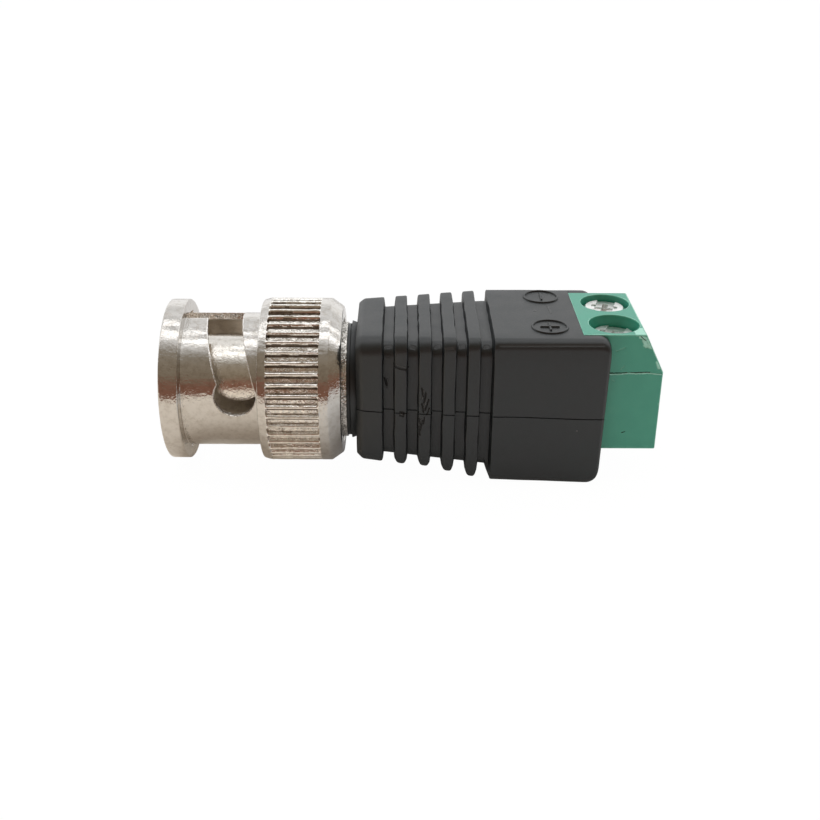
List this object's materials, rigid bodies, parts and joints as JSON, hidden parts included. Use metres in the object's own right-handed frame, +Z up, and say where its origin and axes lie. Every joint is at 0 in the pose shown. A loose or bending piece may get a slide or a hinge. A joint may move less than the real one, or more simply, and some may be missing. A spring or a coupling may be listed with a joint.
{
  "type": "bnc screw terminal adapter",
  "caption": "Bayonet coaxial plug with a turning knurled coupling nut, a ribbed square boot and a screw terminal block for bare wires.",
  "frame": {"origin": "on the plug's axis, in the plane of the coupling nut's open front rim", "axes": "+X along the plug's axis to the wire entries, +Z up on the side of the terminal screws, +Y across to the minus pole; -X is the way the plug goes on to a jack"},
  "size_m": [0.0424, 0.0144, 0.0144],
  "materials": {
    "nickel_plate": "bright nickel over a die-cast metal, lightly pitted",
    "spring_steel": "bare spring steel",
    "gold_plate": "gold-coloured plating",
    "tinned_metal": "dull tin plating",
    "zinc_plate": "bright zinc plating",
    "seal_rubber": "matte elastomer",
    "white_dielectric": "satin white plastic",
    "black_plastic": "satin black moulding",
    "green_plastic": "satin green moulding"
  },
  "bodies": {
    "adapter": {"plug_body": "nickel_plate", "contact_sleeve": "nickel_plate", "gasket": "seal_rubber", "insulator": "white_dielectric", "centre_pin": "gold_plate", "wave_spring": "spring_steel", "ground_tag": "tinned_metal", "centre_lead": "tinned_metal", "ground_lead": "tinned_metal", "inner_mould": "black_plastic", "boot": "black_plastic", "terminal_housing": "green_plastic", "wire_cage_plus": "tinned_metal", "wire_cage_minus": "tinned_metal", "solder_contact_plus": "tinned_metal", "solder_contact_minus": "tinned_metal"},
    "washer": {"slip_washer": "spring_steel"},
    "nut": {"coupling_nut": "nickel_plate", "nut_retainer": "spring_steel"},
    "plate_plus": {"pressure_plate_plus": "zinc_plate"},
    "plate_minus": {"pressure_plate_minus": "zinc_plate"},
    "screw_plus": {"clamp_screw_plus": "zinc_plate"},
    "screw_minus": {"clamp_screw_minus": "zinc_plate"}
  },
  "joints": [
    {"name": "spring_travel", "type": "slide", "parent": "adapter", "child": "washer", "axis": [-1, 0, 0], "range_m": [0, 0.0008], "stiffness_N_per_m": 3000, "springref_m": -0.0003, "deforming": ["wave_spring"]},
    {"name": "nut_turn", "type": "hinge", "parent": "washer", "child": "nut", "pos_m": [0, 0, 0], "axis": [1, 0, 0], "continuous": true},
    {"name": "plate_plus_travel", "type": "slide", "parent": "adapter", "child": "plate_plus", "axis": [0, 0, 1], "range_m": [-0.0016, 0.0014]},
    {"name": "screw_plus_turn", "type": "hinge", "parent": "plate_plus", "child": "screw_plus", "pos_m": [0.03833, -0.00254, 0], "axis": [0, 0, 1], "range_deg": [-1280, 1120]},
    {"name": "plate_minus_travel", "type": "slide", "parent": "adapter", "child": "plate_minus", "axis": [0, 0, 1], "range_m": [-0.002, 0.001]},
    {"name": "screw_minus_turn", "type": "hinge", "parent": "plate_minus", "child": "screw_minus", "pos_m": [0.03833, 0.00254, 0], "axis": [0, 0, 1], "range_deg": [-1600, 800]}
  ],
  "couplings": [
    {"joint": "screw_plus_turn", "follows": "plate_plus_travel", "rad_per_m": 13963},
    {"joint": "screw_minus_turn", "follows": "plate_minus_travel", "rad_per_m": 13963}
  ]
}
